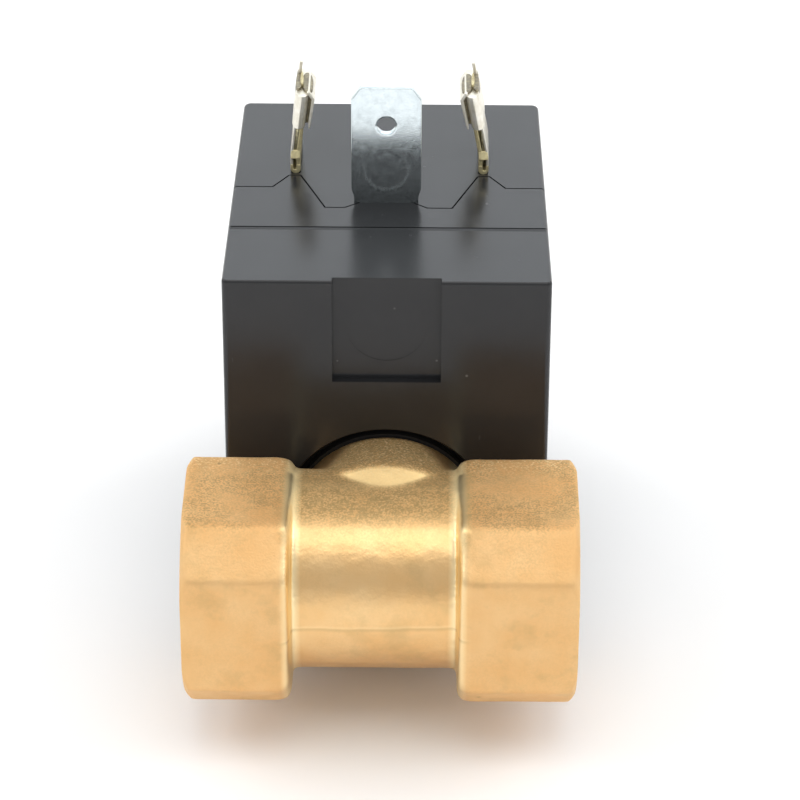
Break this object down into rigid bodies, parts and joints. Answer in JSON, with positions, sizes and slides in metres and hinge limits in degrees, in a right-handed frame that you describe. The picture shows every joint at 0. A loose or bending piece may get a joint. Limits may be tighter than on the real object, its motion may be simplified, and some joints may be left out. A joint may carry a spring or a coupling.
{
  "type": "solenoid valve",
  "caption": "Direct-acting two-way solenoid valve: forged brass body with threaded ports in line, moulded square coil with blade contacts on one face.",
  "frame": {"origin": "on the coil's flat underside, straight below the stem axis and midway along the coil", "axes": "+Z the way the plug contacts point, X along the pipe axis, +Y along the stem from the brass body into the coil"},
  "size_m": [0.0359, 0.0656, 0.0529],
  "materials": {
    "forged_brass": "shot-blasted forging, machined ports",
    "coil_plastic": "satin black glass-filled moulding",
    "bobbin_plastic": "natural moulded nylon",
    "winding_wire": "enamelled copper wire",
    "contact_metal": "brass sheet, tinned in the middle",
    "zinc_steel": "bright zinc plated",
    "stainless": "turned stainless steel",
    "soft_iron": "plain soft iron",
    "seal_rubber": "matt black nitrile"
  },
  "bodies": {
    "body": {"valve_body": "forged_brass", "tube_o_ring": "seal_rubber", "stem_tube": "stainless", "stem_retainer": "stainless", "fixed_core": "stainless", "shading_ring": "winding_wire", "return_spring": "stainless", "rear_washer": "zinc_steel", "spring_washer": "zinc_steel", "coil_nut": "zinc_steel"},
    "plunger": {"plunger": "stainless", "plunger_seal": "seal_rubber"},
    "coil": {"coil_housing": "coil_plastic", "yoke_frame": "soft_iron", "pole_bush_front": "soft_iron", "pole_bush_rear": "soft_iron", "bobbin": "bobbin_plastic", "winding": "winding_wire", "power_contact_left": "contact_metal", "power_contact_right": "contact_metal", "earth_contact": "zinc_steel", "coil_leads": "winding_wire", "front_gasket": "seal_rubber", "rear_gasket": "seal_rubber"}
  },
  "joints": [
    {"name": "plunger_slide", "type": "slide", "parent": "body", "child": "plunger", "axis": [0, 1, 0], "range_m": [0, 0.0015], "stiffness_N_per_m": 300, "springref_m": -0.004, "deforming": ["return_spring"]},
    {"name": "coil_swivel", "type": "hinge", "parent": "body", "child": "coil", "pos_m": [0, 0, 0.015], "axis": [0, 1, 0], "continuous": true}
  ]
}
